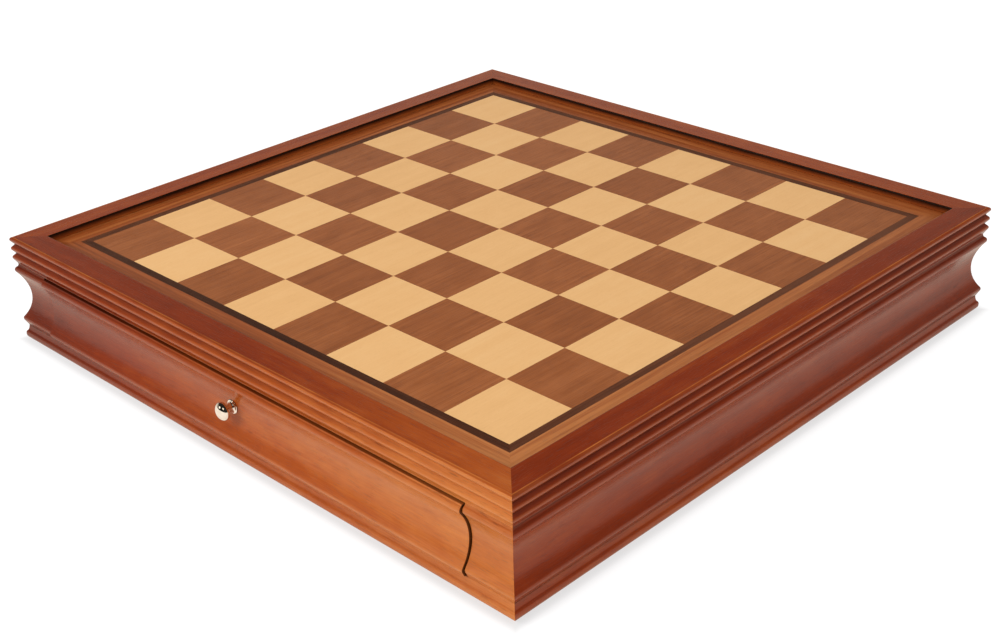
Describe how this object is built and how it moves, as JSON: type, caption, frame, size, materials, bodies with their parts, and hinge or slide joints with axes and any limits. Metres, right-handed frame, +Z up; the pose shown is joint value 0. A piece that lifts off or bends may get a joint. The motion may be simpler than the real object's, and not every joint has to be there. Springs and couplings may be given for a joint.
{
  "type": "chess box with drawers",
  "caption": "Flat wooden box with an inlaid board recessed in a mitred, moulded frame, and felt-lined drawers with metal knobs sliding out on opposite sides.",
  "frame": {"origin": "centre of the underside, in the plane that the box stands on", "axes": "+Z up, +Y from the front drawer to the back drawer, +X to the right of someone who faces the front drawer"},
  "size_m": [0.4894, 0.5032, 0.0808],
  "materials": {
    "frame_wood": "satin lacquer",
    "light_veneer": "satin lacquer",
    "dark_veneer": "satin lacquer",
    "stripe_veneer": "satin lacquer",
    "border_veneer": "satin lacquer",
    "panel_wood": "plain plywood",
    "box_wood": "plain, lightly waxed",
    "felt": "short felt",
    "knob_metal": "polished",
    "screw_metal": "zinc plated"
  },
  "bodies": {
    "case": {"top_rail_front": "frame_wood", "top_rail_right": "frame_wood", "top_rail_back": "frame_wood", "top_rail_left": "frame_wood", "board_panel": "panel_wood", "light_squares": "light_veneer", "dark_squares": "dark_veneer", "stripe_front": "stripe_veneer", "stripe_right": "stripe_veneer", "stripe_back": "stripe_veneer", "stripe_left": "stripe_veneer", "border_front": "border_veneer", "border_right": "border_veneer", "border_back": "border_veneer", "border_left": "border_veneer", "side_moulding_right": "frame_wood", "side_moulding_left": "frame_wood", "corner_front_left": "frame_wood", "corner_front_right": "frame_wood", "corner_back_left": "frame_wood", "corner_back_right": "frame_wood", "base_rail_front": "frame_wood", "base_rail_right": "frame_wood", "base_rail_back": "frame_wood", "base_rail_left": "frame_wood", "bottom_panel": "panel_wood", "centre_divider": "box_wood", "guide_left": "box_wood", "guide_right": "box_wood", "runner_front_left": "box_wood", "runner_front_right": "box_wood", "runner_back_left": "box_wood", "runner_back_right": "box_wood"},
    "front_drawer": {"front_drawer_face": "frame_wood", "front_drawer_inner_front": "box_wood", "front_drawer_left_side": "box_wood", "front_drawer_right_side": "box_wood", "front_drawer_back": "box_wood", "front_drawer_bottom": "panel_wood", "front_drawer_felt": "felt", "front_drawer_row_divider": "felt", "front_drawer_slot_dividers": "felt", "front_drawer_knob": "knob_metal", "front_drawer_knob_screw": "screw_metal"},
    "back_drawer": {"back_drawer_face": "frame_wood", "back_drawer_inner_front": "box_wood", "back_drawer_left_side": "box_wood", "back_drawer_right_side": "box_wood", "back_drawer_back": "box_wood", "back_drawer_bottom": "panel_wood", "back_drawer_felt": "felt", "back_drawer_row_divider": "felt", "back_drawer_slot_dividers": "felt", "back_drawer_knob": "knob_metal", "back_drawer_knob_screw": "screw_metal"}
  },
  "joints": [
    {"name": "front_drawer_slide", "type": "slide", "parent": "case", "child": "front_drawer", "axis": [0, -1, 0], "range_m": [0, 0.17]},
    {"name": "back_drawer_slide", "type": "slide", "parent": "case", "child": "back_drawer", "axis": [0, 1, 0], "range_m": [0, 0.17]}
  ]
}
